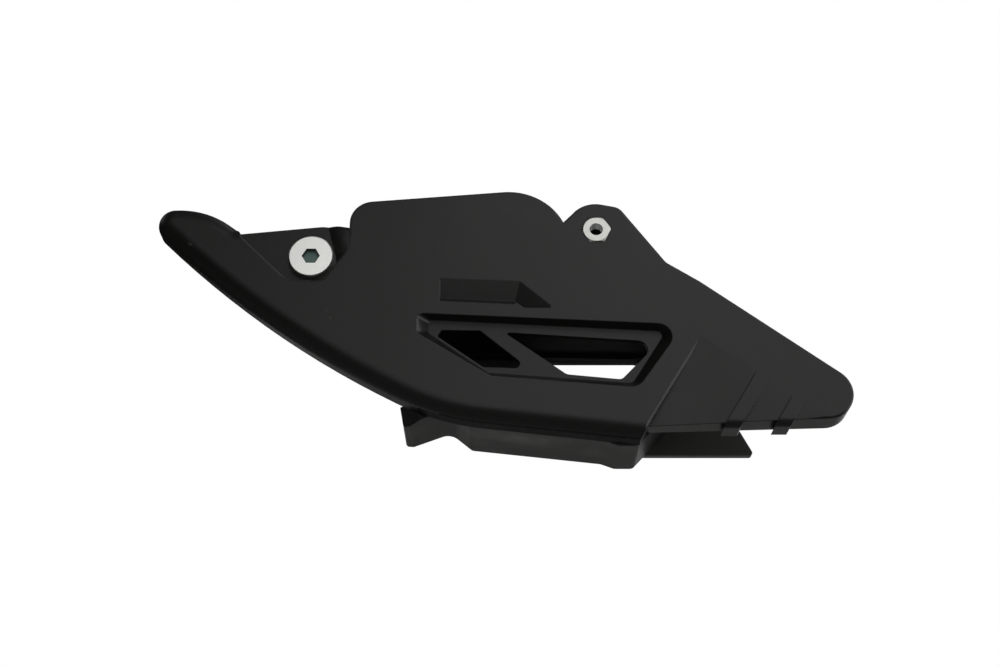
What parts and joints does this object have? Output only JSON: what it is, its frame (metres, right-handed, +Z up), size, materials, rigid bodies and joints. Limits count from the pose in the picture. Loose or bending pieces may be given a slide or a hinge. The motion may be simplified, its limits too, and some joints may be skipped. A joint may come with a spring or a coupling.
{
  "type": "motorcycle chain guide",
  "caption": "Moulded off-road motorcycle chain guide: finned outer guard, plate on the wheel side, wear blocks round a chain tunnel, screw mount and nut mount.",
  "frame": {"origin": "on the rear mount's axis, in the middle plane of the chain", "axes": "+X to the rear of the motorcycle, +Y to the wheel side, +Z up; the outer face looks along -Y"},
  "size_m": [0.2596, 0.0523, 0.0995],
  "materials": {
    "guard_plastic": "black satin moulded plastic, lightly grained",
    "plate_plastic": "black satin moulded plastic",
    "wear_plastic": "black semi-gloss wear plastic",
    "zinc_steel": "bright zinc plate",
    "spacer_aluminium": "plain turned",
    "insert_brass": "plain knurled"
  },
  "bodies": {
    "root": {"outer_guard": "guard_plastic", "inner_guard": "plate_plastic", "lower_slider": "wear_plastic", "upper_slider": "wear_plastic", "front_mount_screw": "zinc_steel", "front_mount_sleeve": "spacer_aluminium", "rear_mount_nut": "zinc_steel", "rear_mount_bush": "spacer_aluminium", "clamp_screws": "zinc_steel", "threaded_inserts": "insert_brass"}
  },
  "joints": []
}
